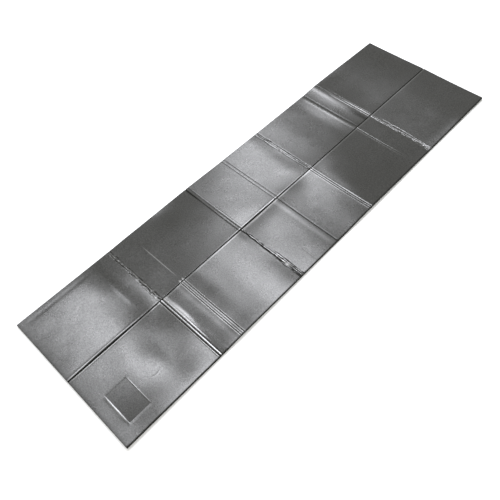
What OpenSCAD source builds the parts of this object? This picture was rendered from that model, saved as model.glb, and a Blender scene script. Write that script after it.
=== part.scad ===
// Folding foam sleeping pad: ten film-faced foam panels in two columns of five.
// It folds in half along the centre web, then concertinas at the four crease bands.
// The origin is at the middle of the underside, +Y runs along the pad, +Z is up.

/* [Pad] */
// Length of the open pad
pad_length = 1900; // [1500:10:2100]
// Width of the open pad
pad_width = 570; // [450:5:700]
// Thickness of the open pad, films included
pad_thickness = 10; // [6:0.5:16]
// Number of panels along the pad
rows = 5; // [3:1:7]

/* [Films] */
// Thickness of the film on each face
film_thickness = 0.4; // [0.2:0.1:0.8]

/* [Creases] */
// Width of the slit between the two columns
slit_width = 3; // [1:0.5:6]
// Depth of the slit under the top face
slit_depth = 7; // [2:0.5:9]
// Gap left under the web that joins the two columns
web_clearance = 0.5; // [0:0.1:1]
// Room left between folded layers when the pad is packed
packing_room = 1.2; // [0:0.1:4]

/* [Patch] */
// Size of the plain patch across the pad
patch_width = 114; // [60:2:130]
// Size of the plain patch along the pad
patch_length = 80; // [40:2:120]
// Distance from the centre line to the middle of the patch
patch_from_centre = 179; // [85:1:200]
// Distance from the near end to the middle of the patch
patch_from_end = 91; // [80:1:240]

/* [Hidden] */
SIDES = ["left", "right"];
folds = rows - 1;
row_pitch = pad_length / rows;
// A crease band spans the two layers that lie between its edges when the pad is packed.
band_length = 2 * pad_thickness + packing_room;
column_width = (pad_width - slit_width) / 2;
core_thickness = pad_thickness - 2 * film_thickness;
web_thickness = pad_thickness - slit_depth - web_clearance;
near_end = -pad_length / 2;

// The line at which two rows meet, in the middle of their crease band
function fold_line(fold) = near_end + fold * row_pitch;

// The two ends of a row, which stop short of the crease bands
function row_start(row) = row == 1 ? near_end : fold_line(row - 1) + band_length / 2;
function row_stop(row) = row == rows ? -near_end : fold_line(row) - band_length / 2;

// A slab of one column between two places along the pad
module column_slab(side, start, stop, bottom, thickness) {
    left_edge = side == "left" ? -pad_width / 2 : slit_width / 2;
    translate([left_edge, start, bottom]) cube([column_width, stop - start, thickness]);
}

// A slab as long as one row
module row_slab(side, row, bottom, thickness) {
    column_slab(side, row_start(row), row_stop(row), bottom, thickness);
}

// The web at the bottom of the slit
module web(start, stop) {
    translate([-slit_width / 2, start, web_clearance])
        cube([slit_width, stop - start, web_thickness]);
}

// A slab with the patch's outline
module patch_slab(bottom, thickness) {
    translate([
        patch_from_centre - patch_width / 2,
        near_end + patch_from_end - patch_length / 2,
        bottom
    ]) cube([patch_width, patch_length, thickness]);
}

// Closed-cell foam slab inside one panel
module foam_core(side, row) {
    color("#26272a") row_slab(side, row, film_thickness, core_thickness);
}

// Film on the lying face of one panel, with a window for the patch
module top_film(side, row) {
    bottom = pad_thickness - film_thickness;
    color("#5f6165") difference() {
        row_slab(side, row, bottom, film_thickness);
        if (side == "right" && row == 1) patch_slab(bottom - 1, film_thickness + 2);
    }
}

// Film on the ground face of one panel
module bottom_film(side, row) {
    color("#55575b") row_slab(side, row, 0, film_thickness);
}

// Pressed band between two rows, where film and foam bend together
module crease_band(side, fold) {
    start = fold_line(fold) - band_length / 2;
    color("#505256") column_slab(side, start, start + band_length, 0, pad_thickness);
}

// Web that joins the two columns beside one row
module centre_web_row(row) {
    color("#1c1d1f") web(row_start(row), row_stop(row));
}

// Web that joins the two columns beside one crease band
module centre_web_fold(fold) {
    start = fold_line(fold) - band_length / 2;
    color("#1c1d1f") web(start, start + band_length);
}

// Plain patch let into the top film of the near right panel
module plain_patch() {
    color("#58595d") patch_slab(pad_thickness - film_thickness, film_thickness);
}

for (row = [1:rows], side = SIDES) {
    foam_core(side, row);
    top_film(side, row);
    bottom_film(side, row);
}
for (fold = [1:folds], side = SIDES) {
    crease_band(side, fold);
}
for (row = [1:rows]) {
    centre_web_row(row);
}
for (fold = [1:folds]) {
    centre_web_fold(fold);
}
plain_patch();
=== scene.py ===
"""The looks of the foam sleeping pad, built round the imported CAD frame.

Lengths are millimetres in the row frame, X across the pad, Y along it and Z up. Every mesh is
made from the same few surface functions, so neighbouring pieces meet exactly.
"""
import math

import bpy
import numpy as np
from mathutils import Matrix, Vector


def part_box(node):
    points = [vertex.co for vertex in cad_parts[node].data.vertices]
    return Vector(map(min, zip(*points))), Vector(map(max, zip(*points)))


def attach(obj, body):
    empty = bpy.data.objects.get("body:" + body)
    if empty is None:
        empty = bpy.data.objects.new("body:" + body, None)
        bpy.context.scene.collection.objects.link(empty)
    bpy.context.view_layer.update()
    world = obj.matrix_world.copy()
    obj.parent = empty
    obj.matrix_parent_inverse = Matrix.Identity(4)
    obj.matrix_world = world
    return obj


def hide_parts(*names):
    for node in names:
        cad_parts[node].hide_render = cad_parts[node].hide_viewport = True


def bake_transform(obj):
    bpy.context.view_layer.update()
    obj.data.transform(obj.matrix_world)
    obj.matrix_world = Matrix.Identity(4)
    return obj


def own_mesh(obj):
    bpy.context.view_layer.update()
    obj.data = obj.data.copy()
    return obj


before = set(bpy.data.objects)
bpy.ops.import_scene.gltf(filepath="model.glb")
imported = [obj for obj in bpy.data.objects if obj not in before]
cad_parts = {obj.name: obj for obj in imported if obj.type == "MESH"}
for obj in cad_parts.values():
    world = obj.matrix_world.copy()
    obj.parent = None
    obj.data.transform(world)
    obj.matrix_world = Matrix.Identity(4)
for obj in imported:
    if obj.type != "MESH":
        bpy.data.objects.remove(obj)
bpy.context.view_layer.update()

# ---------------------------------------------------------------- sizes, from the CAD frame
MM = 0.001
SIDES = ("left", "right")
ROWS = range(1, 6)
FOLDS = range(1, 5)
OUTER = {1: "left", 2: "right", 3: "left", 4: "right"}  # the column outside each fold

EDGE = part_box("top_film_right_5")[1].x / MM
NEAR_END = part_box("top_film_right_1")[0].y / MM
FAR_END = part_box("top_film_right_5")[1].y / MM
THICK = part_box("top_film_right_2")[1].z / MM
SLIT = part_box("top_film_right_2")[0].x / MM
WEB_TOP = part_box("centre_web_row_1")[1].z / MM
BAND = {k: tuple(c.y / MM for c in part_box(f"crease_band_left_{k}")) for k in FOLDS}
FOLD_LINE = {k: sum(BAND[k]) / 2 for k in FOLDS}
PATCH_LO, PATCH_HI = (tuple(v / MM for v in c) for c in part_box("plain_patch"))

FILM = 0.4  # film thickness
FILM_ROOM = 0.25  # between the lying film and the top of the foam core
BEND = 8.0  # how far a fold's bend reaches each side of its hinge line

# ---------------------------------------------------------------- shape of the lying pad
# How far the ground face stands off the floor, at stations along the pad.
STATIONS = np.array([-950.0, -570, -475, -190, 0, 190, 475, 570, 950])
STAND_OFF = {
    "left": np.array([0.5, 0, 2, 4.5, 1.5, 1, 2, 7, 1]),
    "centre": np.array([2.5, 1, 3, 3.5, 3.5, 2.5, 3.5, 3, 3.5]),
    "right": np.array([5.0, 1.5, 5, 2.5, 0, 6, 2, 0, 2.5]),
}

# The broad swell of each panel, carried by the lying face's normals: its tilt in degrees
# (rising to +X, rising to +Y), then crowns and dips (x, y, height, reach in x, reach in y).
SWELL = {
    ("left", 1): ((1.1, -6.9), [
        (61, -793, -17.9, 326, 100), (-156, -991, -16.6, 214, 101), (-267, -672, 3.9, 82, 158),
        (-60, -653, -26.0, 131, 51), (-300, -652, -26.0, 154, 23), (-309, -621, -26.0, 131, 60)]),
    ("left", 2): ((6.1, -1.4), [
        (19, -476, 6.7, 87, 95), (-26, -508, -4.1, 60, 37), (-172, -149, 12.9, 145, 189),
        (-255, -339, -8.2, 44, 61), (-339, -351, -13.0, 172, 234)]),
    ("left", 3): ((3.5, -1.5), [
        (51, -182, -14.1, 77, 153), (-107, 148, 2.1, 184, 39), (-6, 51, -26.0, 168, 242),
        (-346, 169, 13.1, 104, 218), (-113, 171, -4.4, 73, 52)]),
    ("left", 4): ((-1.4, -0.8), [
        (-156, 378, -4.9, 126, 76), (-154, 192, -12.7, 170, 174), (-156, 430, -2.2, 169, 37),
        (-15, 584, -10.9, 79, 309), (-157, 565, 5.7, 163, 38)]),
    ("left", 5): ((-0.1, 2.5), [
        (-12, 533, -16.5, 76, 250), (-285, 586, -11.9, 44, 130), (-159, 645, -10.6, 134, 140),
        (-137, 927, -5.0, 99, 40)]),
    ("right", 1): ((-4.7, 6.1), [
        (158, -568, -26.0, 111, 105), (320, -889, -9.9, 174, 87), (51, -764, -16.1, 254, 175),
        (144, -721, -8.9, 84, 44), (293, -643, -25.1, 105, 170), (-13, -602, 26.0, 63, 48)]),
    ("right", 2): ((9.3, 11.3), [
        (289, -610, 7.5, 44, 220), (345, -540, 23.6, 199, 30), (-61, -425, -16.2, 279, 39),
        (222, -174, -25.9, 179, 59), (-61, -193, -8.6, 129, 20), (65, -353, -14.8, 329, 72)]),
    ("right", 3): ((-0.3, -1.7), [
        (161, -231, 9.8, 89, 100), (-60, 118, -6.7, 88, 62), (-61, -104, -15.8, 89, 310),
        (346, 76, -14.3, 329, 117), (346, 208, -21.9, 188, 92)]),
    ("right", 4): ((-2.9, -6.0), [
        (111, 179, -6.9, 106, 38), (326, 333, -9.9, 518, 82), (152, 449, -17.3, 438, 122),
        (288, 411, -12.7, 93, 218), (25, 203, -21.9, 104, 102)]),
    ("right", 5): ((6.9, 5.3), [
        (268, 617, -4.9, 399, 198), (271, 826, 14.4, 45, 211), (295, 788, 2.4, 543, 58),
        (-39, 871, 7.0, 87, 86)]),
}
STEEPEST = 0.3  # the swell's slope eases off towards this

# Each crease: its line, how crumpled it is, and the marks pressed into the film along it, each
# (offset across, height, half width, painted highlight + or painted shade -, from |x|, to |x|,
# length of its fade). Marks of height 0 are only painted light and shade stripes beside a crease.
# Numbers are the folds; letters are creases that the pad only shows.
WHOLE = (-99, 999, 1)
CREASES = {
    ("left", 1): (-570.0, 0.9, [
        (-7, 0.5, 1.6, 0.3, *WHOLE), (-2.5, -1.0, 1.2, -0.9, *WHOLE), (2, 0.8, 1.4, 0.7, *WHOLE),
        (6.5, -0.7, 1.2, -0.6, *WHOLE)]),
    ("right", 1): (-570.0, 0.03, [
        (-10.5, 0.9, 1.3, 0.9, *WHOLE), (-6.5, -1.7, 1.6, -1.0, *WHOLE),
        (-1.5, 0.8, 2.0, 0.9, *WHOLE), (3.5, -1.1, 1.2, -0.9, *WHOLE),
        (8, 0.9, 2.4, 0.75, -99, 250, 120), (14.5, 0.85, 6.5, 0.8, -99, 215, 150),
        (21, 0.3, 5.0, 0.55, 15, 150, 55)]),
    ("left", 2): (-190.0, 0.08, [
        (-8, -1.2, 2.0, -0.8, *WHOLE), (-2, 0.5, 2.2, 0.2, *WHOLE), (5, -1.0, 2.0, -0.7, *WHOLE),
        (9.5, 0.4, 1.6, 0.2, *WHOLE), (-8, -0.8, 3.6, -0.5, 190, 999, 60)]),
    ("right", 2): (-190.0, 0.75, [
        (-7, -0.8, 1.5, -1.2, 150, 999, 60), (-2.5, -2.0, 2.1, -2.2, *WHOLE),
        (1.5, 0.8, 1.5, 0.8, *WHOLE), (5, -1.0, 1.4, -1.1, *WHOLE),
        (8.5, 0.7, 1.4, 0.8, 140, 999, 40), (12, -1.1, 1.7, -1.5, 130, 999, 40),
        (0.5, 1.0, 3.4, 2.4, 185, 248, 28)]),
    ("left", 3): (190.0, 0.75, [
        (-8, -0.6, 1.5, -0.6, *WHOLE), (-4, 0.5, 1.2, 0.1, *WHOLE),
        (-0.5, -1.1, 1.3, -0.8, *WHOLE), (3.5, 0.5, 1.3, 0.1, *WHOLE),
        (8, -0.9, 2.0, -0.8, *WHOLE)]),
    ("right", 3): (190.0, 0.03, [
        (-9, 0.5, 1.1, 0.45, *WHOLE), (-5, -1.2, 1.5, -1.1, *WHOLE), (-0.5, 0.5, 1.3, 0.4, *WHOLE),
        (4, -1.2, 1.5, -1.1, *WHOLE), (8.5, 0.5, 1.1, 0.45, *WHOLE)]),
    ("left", 4): (570.0, 0.06, [
        (-8, 0.5, 1.1, 0.5, -99, 260, 120), (-3, -0.5, 1.4, -0.4, *WHOLE),
        (3, 0.6, 1.4, 0.8, -99, 230, 160), (8, -0.4, 1.6, -0.3, *WHOLE),
        (-29, 0.0, 10.0, 0.36, 100, 999, 130), (-29, 0.0, 10.0, -0.75, -99, 135, 130)]),
    ("right", 4): (570.0, 0.7, [
        (-3, 0.6, 1.2, 0.6, *WHOLE), (1.5, -0.5, 1.2, -0.4, *WHOLE),
        (-9, 0.4, 1.1, 0.35, 200, 999, 40), (5, 0.35, 1.0, 0.35, 150, 999, 50),
        (14, 0.4, 1.0, 0.5, 20, 230, 60), (10, 0.35, 1.1, 0.35, 190, 999, 40)]),
    ("left", "a"): (-475.0, 0.03, [
        (0, 0.7, 1.5, 0.95, 8, 235, 80), (-6, 0.9, 2.6, 1.9, -99, 13, 8),
        (7, 0.9, 2.6, 1.9, -99, 13, 8)]),
    ("right", "a"): (-475.0, 0.02, [
        (-11, 0.5, 1.2, 1.3, *WHOLE), (-8, -0.6, 1.0, -1.0, *WHOLE),
        (-4.5, 0.3, 1.9, 0.85, *WHOLE), (-0.5, -0.3, 0.9, -0.35, *WHOLE),
        (3.5, 0.3, 1.9, 0.85, *WHOLE), (7.5, -0.6, 1.0, -1.0, *WHOLE),
        (10.5, 0.5, 1.2, 1.3, *WHOLE), (-27, 0.0, 9.0, 0.2, *WHOLE)]),
    ("left", "b"): (0.0, 0.02, [
        (-6.5, -0.5, 1.8, -0.75, *WHOLE), (6.5, -0.5, 1.8, -0.75, *WHOLE)]),
    ("right", "b"): (0.0, 0.04, [
        (0, -0.4, 3.0, -0.8, *WHOLE), (8, 0.0, 8.0, -0.18, *WHOLE),
        (-20, 0.0, 9.5, 0.26, -99, 290, 30)]),
    ("left", "c"): (475.0, 0.03, [
        (-3, 0.6, 8.0, 0.15, -99, 300, 60), (10, -0.5, 5.0, -0.4, *WHOLE),
        (18, 0.0, 7.0, -0.25, *WHOLE)]),
    ("right", "c"): (475.0, 0.02, [
        (-5, 0.4, 1.0, 0.5, -99, 275, 110), (0, -0.4, 1.1, -0.4, -99, 275, 110),
        (4.5, 0.4, 1.0, 0.5, -99, 275, 110)]),
    ("right", "d"): (-109.0, 0.02, [
        (0, -0.4, 1.2, -0.4, 200, 999, 30), (2.5, 0.3, 1.0, 0.3, 200, 999, 30)]),
}
CREASE_REACH = 26.0  # each side of a crease's line, where the grids are fine
MARK_REACH = CREASE_REACH + 18  # and where its marks end
# A mark wanders and its strength varies along the crease, by its crumple times these:
# (size of the lumps, how much).
LONG_WAVE, SHORT_WAVE, PATCHY = (24.0, 2.2), (8.0, 1.3), (10.0, 0.9)
CRUMPLED = 0.5  # a crease more crumpled than this is rough between its marks too
CRUMPLE_REACH, CRUMPLE_STRETCH = 9.0, 1.6
# The crumpled zone's lumps in height, and its specks of painted glint and painted shade: (size, how
# much).
CRUMPLE_HEIGHT, CRUMPLE_SPECKS = (6.0, 0.35), (5.0, 0.45)

# The lip along the slit is rounded over, most of all in the first and the middle rows.
LIP_LEAST, LIP_MORE = 0.8, 3.0
LIP_WIDE = [(-800, 170.0, 1.0), (-110, 90.0, 0.8)]  # (y, half length, share of LIP_MORE)
LIP_BEAD = (6, 3.0, 0.15)  # a low bead beside it: distance in, half width, share of its radius
RIM_RADIUS = 1.6  # of the pad's outer edges
# Along each column's lip runs a painted highlight: (distance in, its least strength, more in the
# middle).
LIP_HIGHLIGHT = {"left": (2.6, 0.0, 0.75), "right": (4.6, 0.45, 0.9)}
LIP_HIGHLIGHT_HALF = 1.5
LIP_HIGHLIGHT_MIDDLE, LIP_HIGHLIGHT_LONG = -60, 200.0

# The patch's pocket: its depth, its walls along Y and X, and the rims pressed up at its near
# and far ends (distance out from the patch, half width, height, painted highlight).
POCKET, POCKET_WALL, SIDE_WALL = 0.9, 3.0, 16.0
NEAR_RIM, FAR_RIM = (2.0, 4.2, 0.5, 0.7), (1.2, 1.3, 0.35, 0.5)
RIM_RAMP, RIM_START = 26.0, 0.3
RIM_BOWED = 0.6  # painted highlight that the near rim loses towards its two ends
PATCH_LEAN = (4.5, 8.5, -3.2)  # degrees: at the patch's left, gained across it, and along Y
PATCH_SUNK, PATCH_DISH, PATCH_THICK = 0.4, 0.1, 0.45
PATCH_INSET = 1.0  # clear of the pocket's near and far walls

# A small curved dent in the near right panel: (x, y, half length), curl, depth and half width.
DENT, DENT_CURL, DENT_DEEP, DENT_HALF = (182.0, -748.0, 20.0), 7.0, 0.2, 3.0
DENT_FULL, DENT_FADE = 1.6, 1.2  # it fades towards its ends
DENT_LIT, DENT_LIT_AT, DENT_LIT_HALF = 0.08, 2.0, 2.6  # painted highlight along its right

# A shallow groove inside the near left panel's outer edge, between these two places on Y, with
# painted shade in it.
HEM_IN, HEM_HALF, HEM_DEEP, HEM_SHADE = 24, 7.0, 0.3, 0.35
HEM_Y, HEM_FADE = (-940, -640), 60.0

END_SHADE, END_SHADE_HALF = 0.45, 9.0  # painted shade along the near end
SIDE_SHADE, SIDE_SHADE_HALF = 1.3, 2.6  # painted shade along the right edge
UNEVEN, UNEVEN_LUMP = 0.12, 38.0  # all over the lying face

# ---------------------------------------------------------------- surface functions
LATTICE = 64
NOISE_SHIFT = 1000.0  # keeps the lattice's coordinates positive
_lattices = {}


def noise(x, y, size, seed):
    """Smooth value noise from -1 to 1, with lumps of the given size."""
    if seed not in _lattices:
        _lattices[seed] = np.random.RandomState(seed).rand(LATTICE, LATTICE) * 2 - 1
    grid = _lattices[seed]
    u, v = x / size + NOISE_SHIFT, y / size + NOISE_SHIFT
    i, j = np.floor(u).astype(int), np.floor(v).astype(int)
    fu, fv = u - i, v - j
    fu, fv = fu * fu * (3 - 2 * fu), fv * fv * (3 - 2 * fv)
    a, b = grid[i % LATTICE, j % LATTICE], grid[(i + 1) % LATTICE, j % LATTICE]
    c, d = grid[i % LATTICE, (j + 1) % LATTICE], grid[(i + 1) % LATTICE, (j + 1) % LATTICE]
    return (a * (1 - fu) + b * fu) * (1 - fv) + (c * (1 - fu) + d * fu) * fv


def smooth(t):
    """0 to 1, eased at both ends."""
    t = np.clip(t, 0.0, 1.0)
    return t * t * (3 - 2 * t)


def ridge(distance, half_width):
    """A rounded ridge's share of its full height, at a distance from its middle."""
    return np.exp(-((distance / half_width) ** 2))


def along(table, y):
    """A table's value at y, eased between its stations."""
    i = np.clip(np.searchsorted(STATIONS, y) - 1, 0, len(STATIONS) - 2)
    t = smooth((y - STATIONS[i]) / (STATIONS[i + 1] - STATIONS[i]))
    return table[i] * (1 - t) + table[i + 1] * t


def stand_off(x, y):
    """Height of the ground face above the floor."""
    middle = along(STAND_OFF["centre"], y)
    side = np.where(x < 0, along(STAND_OFF["left"], y), along(STAND_OFF["right"], y))
    t = np.clip(np.abs(x) / EDGE, 0, 1)
    return middle * (1 - t) ** 2 + side * t**2


def film_over_ground(x, y):
    """Top of the ground film, where the foam core starts."""
    return stand_off(x, y) + FILM


def crease_marks(side, x, y):
    """(height, painted light) of every mark along one column's creases at these points."""
    height, painted_light = np.zeros_like(x), np.zeros_like(x)
    in_order = enumerate(sorted(CREASES.items(), key=str))  # the order sets the noise seeds
    for n, ((where, _), (line, crumple, marks)) in in_order:
        if where != side:
            continue
        d = y - line
        near = np.abs(d) < MARK_REACH
        if not near.any():
            continue
        for m, (offset, rise, half, highlight, start, stop, fade) in enumerate(marks):
            seed = 10 * n + m
            wander = crumple * (LONG_WAVE[1] * noise(x, 0 * y, LONG_WAVE[0], seed)
                                + SHORT_WAVE[1] * noise(x, y, SHORT_WAVE[0], seed + 500))
            strength = 1 + crumple * PATCHY[1] * noise(x, y, PATCHY[0], seed + 900)
            strength = strength * smooth((np.abs(x) - start) / fade)
            strength = strength * (1 - smooth((np.abs(x) - stop) / fade + 1))
            shape = ridge(d - offset - wander, half) * strength
            height += rise * shape * near
            painted_light += highlight * shape * near
        if crumple > CRUMPLED:
            fall = ridge(d, CRUMPLE_REACH) * near
            stretched = y * CRUMPLE_STRETCH
            size, share = CRUMPLE_HEIGHT
            height += share * crumple * fall * noise(x, stretched, size, 77 + n)
            size, share = CRUMPLE_SPECKS
            painted_light += share * crumple * fall * noise(x, stretched, size, 177 + n)
    return height, painted_light


def round_over(distance, radius):
    """How far a rounded edge has dropped, at a distance in from it."""
    t = np.clip(1 - distance / radius, 0.0, 1.0)
    return radius * (1 - np.sqrt(1 - t * t))


def slit_lip(y):
    """Radius of the film's rounded lip along the slit."""
    wide = sum(share * ridge(y - middle, half) for middle, half, share in LIP_WIDE)
    return LIP_LEAST + LIP_MORE * wide


def press_patch(height, painted_light, x, y):
    """Adds the patch's pocket, its rims and the painted highlights along them."""
    across_x = np.minimum(x - PATCH_LO[0], PATCH_HI[0] - x)
    near, far = y - PATCH_LO[1], PATCH_HI[1] - y
    walls = np.minimum(across_x / SIDE_WALL, np.minimum(near, far) / POCKET_WALL)
    inside = smooth(walls + 0.5)  # the patch's edge is half way down the wall
    ends = smooth(across_x / RIM_RAMP + RIM_START)
    near_out, near_half, near_high, near_highlight = NEAR_RIM
    far_out, far_half, far_high, far_highlight = FAR_RIM
    near_rim = ends * ridge(near + near_out, near_half)
    far_rim = ends * ridge(far + far_out, far_half)
    height = height - POCKET * inside + near_high * near_rim + far_high * far_rim
    bow = np.abs((x - PATCH_LO[0]) / (PATCH_HI[0] - PATCH_LO[0]) - 0.5) * 2
    bowed = near_highlight - RIM_BOWED * np.clip(bow, 0, 1) ** 2
    painted_light = painted_light + near_rim * bowed + far_highlight * far_rim
    return height, painted_light


def press_dent(height, painted_light, x, y):
    """Adds the curved dent and a painted highlight along its right."""
    dent_x, dent_y, dent_long = DENT
    t = (y - dent_y) / dent_long
    off = x - dent_x + DENT_CURL * t * t
    ends = smooth(DENT_FULL - DENT_FADE * np.abs(t))
    height = height - DENT_DEEP * ridge(off, DENT_HALF) * ends
    return height, painted_light + DENT_LIT * ridge(off - DENT_LIT_AT, DENT_LIT_HALF) * ends


def press_hem(height, painted_light, x, y):
    """Adds the groove inside the near left panel's outer edge, and painted shade in it."""
    start, stop = HEM_Y
    hem = ridge(EDGE - HEM_IN - np.abs(x), HEM_HALF)
    hem = hem * smooth((stop - y) / HEM_FADE) * smooth((y - start) / HEM_FADE)
    return height - HEM_DEEP * hem, painted_light - HEM_SHADE * hem


def relief(side, x, y):
    """(height, painted light) of what is pressed into the lying face, over the plain slab."""
    height, painted_light = crease_marks(side, x, y)
    from_slit = np.abs(x) - SLIT
    if side == "right":
        height, painted_light = press_patch(height, painted_light, x, y)
        height, painted_light = press_dent(height, painted_light, x, y)
    else:
        height, painted_light = press_hem(height, painted_light, x, y)
    lip = slit_lip(y)
    height = height - round_over(EDGE - np.abs(x), RIM_RADIUS)
    height = height - round_over(np.minimum(y - NEAR_END, FAR_END - y), RIM_RADIUS)
    height = height - round_over(from_slit, lip)
    bead_in, bead_half, bead_high = LIP_BEAD
    height = height + bead_high * (lip - LIP_LEAST) * ridge(from_slit - bead_in, bead_half)
    # A painted highlight along the slit's lip; painted shade along the near end, and along the
    # right edge on the right.
    lip_in, least, more = LIP_HIGHLIGHT[side]
    lip_shine = least + more * ridge(y - LIP_HIGHLIGHT_MIDDLE, LIP_HIGHLIGHT_LONG)
    painted_light = painted_light + lip_shine * ridge(from_slit - lip_in, LIP_HIGHLIGHT_HALF)
    painted_light = painted_light - END_SHADE * ridge(y - NEAR_END, END_SHADE_HALF)
    if side == "right":
        painted_light = painted_light - SIDE_SHADE * ridge(EDGE - x, SIDE_SHADE_HALF)
    height = height + UNEVEN * noise(x, y, UNEVEN_LUMP, seed=5)
    return height, painted_light


def row_of(y):
    """Number of the row that y is in."""
    return 1 + np.searchsorted(np.array([FOLD_LINE[k] for k in FOLDS]), y)


def swell_slope(side, x, y):
    """Slope of each panel's broad swell (rise to +X, rise to +Y)."""
    slope_x, slope_y = np.zeros_like(x), np.zeros_like(x)
    rows = row_of(y)
    for row in ROWS:
        on = rows == row
        if not on.any():
            continue
        tilt, crowns = SWELL[side, row]
        px = np.full_like(x, math.tan(math.radians(tilt[0])))
        py = np.full_like(x, math.tan(math.radians(tilt[1])))
        for cx, cy, high, rx, ry in crowns:
            u, v = (x - cx) / rx, (y - cy) / ry
            bell = high * np.exp(-(u * u + v * v))
            px += bell * -2 * u / rx
            py += bell * -2 * v / ry
        slope_x[on], slope_y[on] = px[on], py[on]
    ease = 1 / np.sqrt(1 + (slope_x * slope_x + slope_y * slope_y) / STEEPEST**2)
    return slope_x * ease, slope_y * ease


def unit(x, y, z):
    """Vectors of length 1 with these components."""
    n = np.stack([x, y, z], -1)
    return n / np.linalg.norm(n, axis=-1, keepdims=True)


class Column:
    """The surface functions of one column, in the form that slab() takes."""

    SLOPE_STEP = 0.35

    def __init__(self, side):
        self.side = side

    def top(self, x, y):
        return THICK + stand_off(x, y) + relief(self.side, x, y)[0]

    def film_under(self, x, y):
        return self.top(x, y) - FILM

    def core_top(self, x, y):
        return self.top(x, y) - FILM - FILM_ROOM

    def painted_light(self, x, y):
        return relief(self.side, x, y)[1]

    def normals(self, x, y):
        """Unit normals of the lying face: its own slope, and the panel's broad swell."""
        h = self.SLOPE_STEP
        dx = (self.top(x + h, y) - self.top(x - h, y)) / (2 * h)
        dy = (self.top(x, y + h) - self.top(x, y - h)) / (2 * h)
        sx, sy = swell_slope(self.side, x, y)
        return unit(-(dx + sx), -(dy + sy), np.ones_like(x))


# ---------------------------------------------------------------- grids
LIP_GRID = [0, 0.25, 0.6, 1.0, 1.5, 2.1, 2.8, 3.6, 4.6, 6, 8, 11]  # in from the slit
RIM_GRID = [0, 0.15, 0.4, 0.8, 1.3, 2.0, 4, 8]  # in from the outer edge
END_GRID = [0, 0.15, 0.4, 0.8, 1.3, 2.0, 4]  # in from the pad's two ends
EVEN_FROM, EVEN_TO = 15, 12  # in from the slit and the edge, where the even lines start and stop
GAP_ACROSS, GAP_DOWN, GAP_END = 0.1, 0.12, 0.2  # closer lines than these are merged


def spread(a, b, step):
    """Values from a to b, evenly about a step apart."""
    return list(np.linspace(a, b, max(2, int(round(abs(b - a) / step)) + 1)))


def merge(values, least):
    """The values in order, without those closer than least to the one before."""
    out = []
    for v in sorted(values):
        if not out or v - out[-1] > least:
            out.append(v)
    return out


def across(side, step, extra=()):
    """Grid lines across one column, close together at the slit's lip and the outer edge."""
    even = spread(SLIT + EVEN_FROM, EDGE - EVEN_TO, step)
    xs = [SLIT + d for d in LIP_GRID] + even + [EDGE - d for d in RIM_GRID]
    xs = merge(xs + list(extra), GAP_ACROSS)
    return np.array(xs) if side == "right" else -np.array(xs[::-1])


def down(a, b, step, fine, extra=()):
    """Grid lines along the pad from a to b, close together at the creases and the ends."""
    ys = spread(a, b, step) + list(extra)
    for line in {crease[0] for crease in CREASES.values()}:
        lo, hi = max(a, line - CREASE_REACH), min(b, line + CREASE_REACH)
        if hi > lo:
            ys += spread(lo, hi, fine)
    for end, inward in ((NEAR_END, 1), (FAR_END, -1)):
        if abs(a - end) < 1 or abs(b - end) < 1:
            ys += [end + inward * d for d in END_GRID]
    between = [y for y in ys if a + GAP_END < y < b - GAP_END]
    return np.array(merge([a] + between, GAP_DOWN) + [b])


# ---------------------------------------------------------------- meshes
TOP, WALL, BOTTOM = 0, 1, 2
ON_LINE, ON_EDGE = 1e-6, 1e-3  # how close a point must be to count as on a grid's or pad's edge
TUCK = 0.5  # how far the foam's cut walls pull in between their edges
WALL_RINGS = 4
WALL_UNEVEN, WALL_LUMP, RING_SHIFT = 0.35, 6.0, 40  # the shift gives each ring its own lumps


def wall_rings(xs, ys, x, y, z_top, z_bottom, rings, tuck):
    """Points of each ring between a slab's two borders; the pad's outer walls are tucked in."""
    out_x = (x >= xs[-1] - ON_LINE).astype(float) - (x <= xs[0] + ON_LINE)
    out_y = (y >= ys[-1] - ON_LINE).astype(float) - (y <= ys[0] + ON_LINE)
    outside = np.abs(np.abs(x) - EDGE) < ON_EDGE
    outside = outside | (y <= NEAR_END + ON_EDGE) | (y >= FAR_END - ON_EDGE)
    for r in range(rings):
        t = (r + 1) / (rings + 1)
        z = z_top * (1 - t) + z_bottom * t
        lumps = noise(x + y, z + RING_SHIFT * t, WALL_LUMP, seed=31)
        pull = tuck * (math.sin(math.pi * t) + WALL_UNEVEN * lumps)
        pull = pull * outside
        yield np.stack([x - out_x * pull, y - out_y * pull, z], -1)


def quad_mesh(name, points, faces, kinds, slots):
    """A mesh of quads; slots gives the material of each kind of face."""
    me = bpy.data.meshes.new(name)
    me.vertices.add(len(points))
    me.vertices.foreach_set("co", (points * MM).astype(np.float32).ravel())
    me.loops.add(faces.size)
    me.loops.foreach_set("vertex_index", faces.astype(np.int32).ravel())
    me.polygons.add(len(faces))
    me.polygons.foreach_set("loop_start", np.arange(0, faces.size, 4, dtype=np.int32))
    me.polygons.foreach_set("loop_total", np.full(len(faces), 4, dtype=np.int32))
    me.polygons.foreach_set("material_index", np.choose(kinds, slots).astype(np.int32))
    me.polygons.foreach_set("use_smooth", kinds != WALL)
    me.update(calc_edges=True)
    me.validate()
    return me


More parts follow.
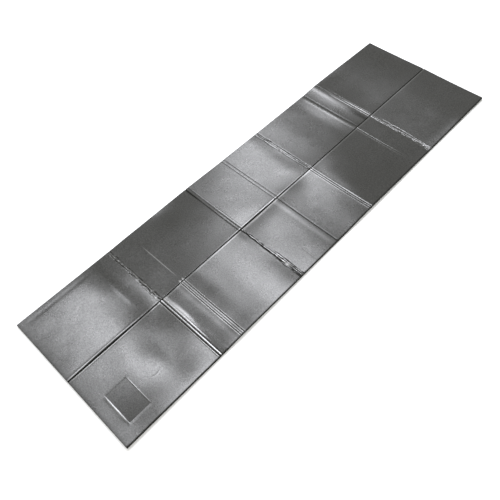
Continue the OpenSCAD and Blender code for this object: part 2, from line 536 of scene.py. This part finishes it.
def slab(name, xs, ys, top, bottom, mats, normals=None, painted_light=None, rings=0, tuck=0.0):
    """A closed slab over a grid, with one material, or one each for its top, walls and bottom.

    normals gives its top custom normals, and painted_light marks it with painted highlights and
    painted shade.
    """
    X, Y = np.meshgrid(xs, ys, indexing="ij")
    x, y = X.ravel(), Y.ravel()
    z_top, z_bottom = top(x, y), bottom(x, y)
    count = len(x)
    index = np.arange(count).reshape(X.shape)
    border = np.concatenate([index[:, 0], index[-1, 1:], index[-2::-1, -1], index[0, -2:0:-1]])

    points = [np.stack([x, y, z_top], -1), np.stack([x, y, z_bottom], -1)]
    borders = [border]
    for ring in wall_rings(xs, ys, x[border], y[border], z_top[border], z_bottom[border],
                           rings, tuck):
        borders.append(np.arange(len(border)) + sum(map(len, points)))
        points.append(ring)
    borders.append(border + count)

    a, b = index[:-1, :-1].ravel(), index[1:, :-1].ravel()
    c, d = index[1:, 1:].ravel(), index[:-1, 1:].ravel()
    faces = [np.stack([a, b, c, d], -1), np.stack([a, d, c, b], -1) + count]
    kinds = [np.full(len(a), TOP), np.full(len(a), BOTTOM)]
    for upper, lower in zip(borders, borders[1:]):
        faces.append(np.stack([upper, lower, np.roll(lower, -1), np.roll(upper, -1)], -1))
        kinds.append(np.full(len(upper), WALL))
    points, faces, kinds = (np.concatenate(v) for v in (points, faces, kinds))

    slots = [min(kind, len(mats) - 1) for kind in (TOP, WALL, BOTTOM)]
    me = quad_mesh(name, points, faces, kinds, slots)
    for m in mats:
        me.materials.append(m)
    values = np.zeros(len(points), np.float32)
    if painted_light is not None:
        values[:count] = painted_light(x, y)
    me.attributes.new("painted_light", "FLOAT", "POINT").data.foreach_set("value", values)
    if normals is not None:
        flat = np.zeros(len(faces) * 3, np.float32)
        me.polygons.foreach_get("normal", flat)
        corners = np.repeat(flat.reshape(-1, 3), 4, axis=0)
        on_top = np.repeat(kinds == TOP, 4)
        corners[on_top] = normals(x, y)[faces.ravel()[on_top]]
        me.normals_split_custom_set(corners.tolist())
    return link(name, me)


def link(name, data):
    """A new object in the scene, holding this data."""
    o = bpy.data.objects.new(name, data)
    bpy.context.scene.collection.objects.link(o)
    return o


# ---------------------------------------------------------------- materials
def new_material(name, colour, roughness, metallic):
    m = bpy.data.materials.new(name)
    m.use_nodes = True
    nt = m.node_tree
    shader = nt.nodes.get("Principled BSDF")
    if shader is None:
        shader = nt.nodes.new("ShaderNodeBsdfPrincipled")
        out = nt.nodes.new("ShaderNodeOutputMaterial")
        nt.links.new(shader.outputs[0], out.inputs[0])
    shader.inputs["Base Color"].default_value = (*colour, 1)
    shader.inputs["Roughness"].default_value = roughness
    shader.inputs["Metallic"].default_value = metallic
    m.diffuse_color = (*colour, 1)
    return m, nt, shader


def object_coords(nt):
    return nt.nodes.new("ShaderNodeTexCoord").outputs["Object"]


def shade(colour, share):
    return tuple(c * share for c in colour)


def noise_node(nt, coords, scale, detail, rough=0.5):
    n = nt.nodes.new("ShaderNodeTexNoise")
    n.inputs["Scale"].default_value = scale
    n.inputs["Detail"].default_value = detail
    n.inputs["Roughness"].default_value = rough
    nt.links.new(coords, n.inputs["Vector"])
    return n.outputs["Fac"]


def map_range(nt, value, low, high, to_low=0.0, to_high=1.0):
    n = nt.nodes.new("ShaderNodeMapRange")
    ends = {"From Min": low, "From Max": high, "To Min": to_low, "To Max": to_high}
    for key, v in ends.items():
        n.inputs[key].default_value = v
    nt.links.new(value, n.inputs["Value"])
    return n.outputs["Result"]


def mix_colour(nt, share, a, b):
    """From a to b by share; each is a colour or another node's output."""
    n = nt.nodes.new("ShaderNodeMix")
    n.data_type = "RGBA"
    nt.links.new(share, n.inputs["Factor"])
    for socket, value in zip([s for s in n.inputs if s.type == "RGBA"], (a, b)):
        if isinstance(value, tuple):
            socket.default_value = (*value, 1)
        else:
            nt.links.new(value, socket)
    return [s for s in n.outputs if s.type == "RGBA"][0]


def bump(nt, height, distance, strength, normal=None):
    n = nt.nodes.new("ShaderNodeBump")
    n.inputs["Distance"].default_value = distance
    n.inputs["Strength"].default_value = strength
    nt.links.new(height, n.inputs["Height"])
    if normal is not None:
        nt.links.new(normal, n.inputs["Normal"])
    return n.outputs["Normal"]


def film_material(name, colour, highlight, shadow, roughness):
    """Metallised film: satin, finely grained, with painted highlights and painted shade mixed in by
    the painted_light attribute.
    """
    m, nt, shader = new_material(name, colour, roughness, metallic=0.9)
    at = object_coords(nt)
    fine = noise_node(nt, at, scale=900.0, detail=2.0, rough=0.6)
    coarse = noise_node(nt, at, scale=240.0, detail=2.0, rough=0.75)
    cloud = noise_node(nt, at, scale=14.0, detail=3.0, rough=0.55)
    painted_light = nt.nodes.new("ShaderNodeAttribute")
    painted_light.attribute_name = "painted_light"
    highlit = map_range(nt, painted_light.outputs["Fac"], 0.05, 1.35)
    shaded = map_range(nt, painted_light.outputs["Fac"], -0.05, -1.0)
    grain = map_range(nt, coarse, 0.28, 0.72)
    base = mix_colour(nt, grain, shade(colour, 0.66), shade(colour, 1.34))
    base = mix_colour(nt, highlit, base, highlight)
    base = mix_colour(nt, shaded, base, shadow)
    satin = map_range(nt, cloud, 0.3, 0.7, roughness - 0.02, roughness + 0.02)
    normal = bump(nt, coarse, distance=0.0001, strength=0.5)
    normal = bump(nt, fine, distance=0.00006, strength=0.5, normal=normal)
    nt.links.new(base, shader.inputs["Base Color"])
    nt.links.new(satin, shader.inputs["Roughness"])
    nt.links.new(normal, shader.inputs["Normal"])
    return m


def foam_material(name, colour):
    """Closed-cell foam, cut: matt, with fine open cells."""
    m, nt, shader = new_material(name, colour, roughness=0.9, metallic=0.0)
    at = object_coords(nt)
    cells = nt.nodes.new("ShaderNodeTexVoronoi")
    cells.inputs["Scale"].default_value = 900.0
    nt.links.new(at, cells.inputs["Vector"])
    tint = map_range(nt, noise_node(nt, at, scale=60.0, detail=3.0), 0.3, 0.7)
    base = mix_colour(nt, tint, shade(colour, 0.75), shade(colour, 1.3))
    normal = bump(nt, cells.outputs["Distance"], distance=0.0004, strength=0.8)
    nt.links.new(base, shader.inputs["Base Color"])
    nt.links.new(normal, shader.inputs["Normal"])
    shader.inputs["Specular IOR Level"].default_value = 0.2
    return m


# Each film's highlight colour is for painted highlights, and its shadow colour for painted shade.
FILM_TOP = film_material("film_lying_face", (0.088, 0.088, 0.086), highlight=(0.40, 0.40, 0.40),
                         shadow=(0.015, 0.015, 0.014), roughness=0.28)
FILM_GROUND = film_material("film_ground_face", (0.085, 0.085, 0.083), highlight=(0.3, 0.3, 0.3),
                            shadow=(0.02, 0.02, 0.02), roughness=0.32)
FILM_PATCH = film_material("film_patch", (0.082, 0.082, 0.08), highlight=(0.3, 0.3, 0.3),
                           shadow=(0.015, 0.015, 0.014), roughness=0.3)
FOAM = foam_material("foam_edge", (0.02, 0.0195, 0.015))
# The web is near black, darker than the foam, so that the slit reads black: painted shade in the
# slit.
WEB = foam_material("web_slit_shade", (0.008, 0.008, 0.008))

# ---------------------------------------------------------------- grid steps of the pieces
CORE_STEP, CORE_FINE = 14, 3.5
FILM_ACROSS, FILM_DOWN, FILM_FINE = 5.5, 7, 1.6
GROUND_STEP, GROUND_FINE = 20, 8
CREASE_ACROSS, CREASE_DOWN = 3.2, 1.1
WEB_LINES = 17
PATCH_STEP = 3
POCKET_LINES = spread(-6, 6, 0.8)  # either side of the pocket's walls
DENT_X, DENT_Y = spread(165, 195, 2), spread(-775, -720, 3)


# ---------------------------------------------------------------- panels
def panel_span(side, row):
    """Where this panel's own pieces start and stop along Y."""
    start, stop = NEAR_END, FAR_END
    if row > 1:
        start = BAND[row - 1][1] + (BEND if OUTER[row - 1] == side else 0.0)
    if row < 5:
        stop = BAND[row][0] - (BEND if OUTER[row] == side else 0.0)
    return start, stop


def panel(side, row):
    """The foam core, lying film and ground film of one panel."""
    column = Column(side)
    a, b = panel_span(side, row)
    more_x, more_y = (), ()
    if (side, row) == ("right", 1):
        more_x = [v + d for v in (PATCH_LO[0], PATCH_HI[0]) for d in POCKET_LINES] + DENT_X
        more_y = [v + d for v in (PATCH_LO[1], PATCH_HI[1]) for d in POCKET_LINES] + DENT_Y
    core = slab(f"foam_{side}_{row}", across(side, CORE_STEP), down(a, b, CORE_STEP, CORE_FINE),
                column.core_top, film_over_ground, [FOAM], rings=WALL_RINGS, tuck=TUCK)
    film = slab(f"lying_film_{side}_{row}", across(side, FILM_ACROSS, more_x),
                down(a, b, FILM_DOWN, FILM_FINE, more_y),
                column.top, column.film_under, [FILM_TOP], column.normals, column.painted_light)
    under = slab(f"ground_film_{side}_{row}", across(side, GROUND_STEP),
                 down(a, b, GROUND_STEP, GROUND_FINE),
                 film_over_ground, stand_off, [FILM_GROUND])
    for piece, node in ((core, "foam_core"), (film, "top_film"), (under, "bottom_film")):
        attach(piece, f"panel_{side}_{row}")
        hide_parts(f"{node}_{side}_{row}")


for side in SIDES:
    for row in ROWS:
        panel(side, row)


# ---------------------------------------------------------------- crease bands
def crease_piece(name, side, fold, a, b):
    """One piece of a crease band: film, foam and film pressed together."""
    column = Column(side)
    piece = slab(name, across(side, CREASE_ACROSS), np.array(spread(a, b, CREASE_DOWN)),
                 column.top, stand_off, [FILM_TOP, FOAM, FILM_GROUND],
                 column.normals, column.painted_light, rings=WALL_RINGS, tuck=TUCK)
    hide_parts(f"crease_band_{side}_{fold}")
    return piece


for k in FOLDS:
    outer = OUTER[k]
    inner = "right" if outer == "left" else "left"
    near_hinge, far_hinge = BAND[k]
    near_panel, far_panel = f"panel_{outer}_{k}", f"panel_{outer}_{k + 1}"
    band, middle = f"band_{outer}_{k}", FOLD_LINE[k]
    for part, a, b, bodies, hinge in (
        ("near", near_hinge - BEND, middle, (near_panel, band), near_hinge),
        ("far", middle, far_hinge + BEND, (band, far_panel), far_hinge),
    ):
        piece = crease_piece(f"crease_{outer}_{k}_{part}", outer, k, a, b)
        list(bodies)
        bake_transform(piece)
    piece = crease_piece(f"crease_{inner}_{k}", inner, k, near_hinge, far_hinge)
    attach(piece, f"band_{inner}_{k}")
    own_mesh(piece)


# ---------------------------------------------------------------- web
def web_bottom(x, y):
    """The ground face, straight across the slit, so that the web's two sides match."""
    return stand_off(0 * x, y)


def web_top(x, y):
    return web_bottom(x, y) + WEB_TOP


def web(name, a, b, node, bodies):
    """A stretch of the web at the bottom of the slit."""
    xs = np.linspace(-SLIT, SLIT, WEB_LINES)
    piece = slab(name, xs, down(a, b, GROUND_STEP, GROUND_FINE), web_top, web_bottom,
                 [WEB, WEB, FILM_GROUND])
    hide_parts(node)
    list(bodies)
    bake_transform(piece)


for row in ROWS:
    a = NEAR_END if row == 1 else BAND[row - 1][1]
    b = FAR_END if row == 5 else BAND[row][0]
    web(f"web_row_{row}", a, b, f"centre_web_row_{row}",
        (f"panel_left_{row}", f"panel_right_{row}"))
for k in FOLDS:
    web(f"web_fold_{k}", *BAND[k], f"centre_web_fold_{k}", (f"band_left_{k}", f"band_right_{k}"))


# ---------------------------------------------------------------- patch
def across_patch(x):
    return (x - PATCH_LO[0]) / (PATCH_HI[0] - PATCH_LO[0])


def patch_top(x, y):
    """The patch's own face: a little below the film round it, and lower towards its right."""
    return THICK + stand_off(x, y) - PATCH_SUNK - PATCH_DISH * across_patch(x)


def patch_bottom(x, y):
    return patch_top(x, y) - PATCH_THICK


def patch_normals(x, y):
    left, gained, along_y = PATCH_LEAN
    lean_x = -np.tan(np.radians(left + gained * across_patch(x)))
    lean_y = np.full_like(x, np.tan(np.radians(along_y)))
    return unit(lean_x, lean_y, np.ones_like(x))


patch = slab("patch_plain", np.array(spread(PATCH_LO[0], PATCH_HI[0], PATCH_STEP)),
             np.array(spread(PATCH_LO[1] + PATCH_INSET, PATCH_HI[1] - PATCH_INSET, PATCH_STEP)),
             patch_top, patch_bottom, [FILM_PATCH], patch_normals)
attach(patch, "panel_right_1")
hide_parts("plain_patch")

# ---------------------------------------------------------------- stage, in metres
FLOOR_HALF = 15.0
WHITE = (0.86, 0.86, 0.86)
floor_mesh = bpy.data.meshes.new("floor")
corners = [(x * FLOOR_HALF, y * FLOOR_HALF, 0) for x, y in ((-1, -1), (1, -1), (1, 1), (-1, 1))]
floor_mesh.from_pydata(corners, [], [(0, 1, 2, 3)])
floor_mesh.materials.append(new_material("floor_white", WHITE, roughness=0.9, metallic=0.0)[0])
link("floor", floor_mesh)

world = bpy.data.worlds.new("studio")
bpy.context.scene.world = world
world.use_nodes = True
nodes = world.node_tree.nodes
background = nodes.get("Background") or nodes.new("ShaderNodeBackground")
background.inputs["Color"].default_value = (1.0, 1.0, 0.95, 1)
background.inputs["Strength"].default_value = 0.66


def softbox(name, centre, size, radiance, tint, aim=None):
    """A rectangular light, equally bright all over. It faces down unless it has an aim."""
    light = bpy.data.lights.new(name, "AREA")
    light.shape = "RECTANGLE"
    light.size, light.size_y = size
    light.energy = radiance * math.pi * size[0] * size[1]
    light.color = tint
    o = link(name, light)
    o.location = centre
    if aim is not None:
        o.rotation_euler = (Vector(aim) - Vector(centre)).to_track_quat("-Z", "Y").to_euler()


softbox("softbox_key", (-0.80, 0.30, 2.0), (1.1, 2.4), 8.9, (0.925, 0.935, 1.0))
softbox("softbox_fill", (2.2, -2.0, 2.4), (2.4, 2.4), 3.0, (1.0, 0.995, 0.98), aim=(0.2, -0.1, 0.0))

# ---------------------------------------------------------------- camera, in metres
AZIMUTH, ELEVATION, ROLL = (math.radians(v) for v in (47.94, 56.54, -5.33))
DISTANCE, AIM = 1.885, Vector((0.0787, -0.2275, 0.0))
LENS, SENSOR = 38.89, 36.0
sin_a, cos_a = math.sin(AZIMUTH), math.cos(AZIMUTH)
sin_e, cos_e = math.sin(ELEVATION), math.cos(ELEVATION)
forward = Vector((-sin_a * cos_e, cos_a * cos_e, -sin_e))
level = Vector((cos_a, sin_a, 0.0))
upright = level.cross(forward)
right = math.cos(ROLL) * level + math.sin(ROLL) * upright
up = -math.sin(ROLL) * level + math.cos(ROLL) * upright
turn = Matrix((right, up, -forward)).transposed().to_4x4()
camera = link("camera", bpy.data.cameras.new("camera"))
camera.data.lens, camera.data.sensor_width = LENS, SENSOR
camera.matrix_world = Matrix.Translation(AIM - forward * DISTANCE) @ turn
bpy.context.scene.camera = camera
bpy.context.scene.view_settings.view_transform = "Standard"
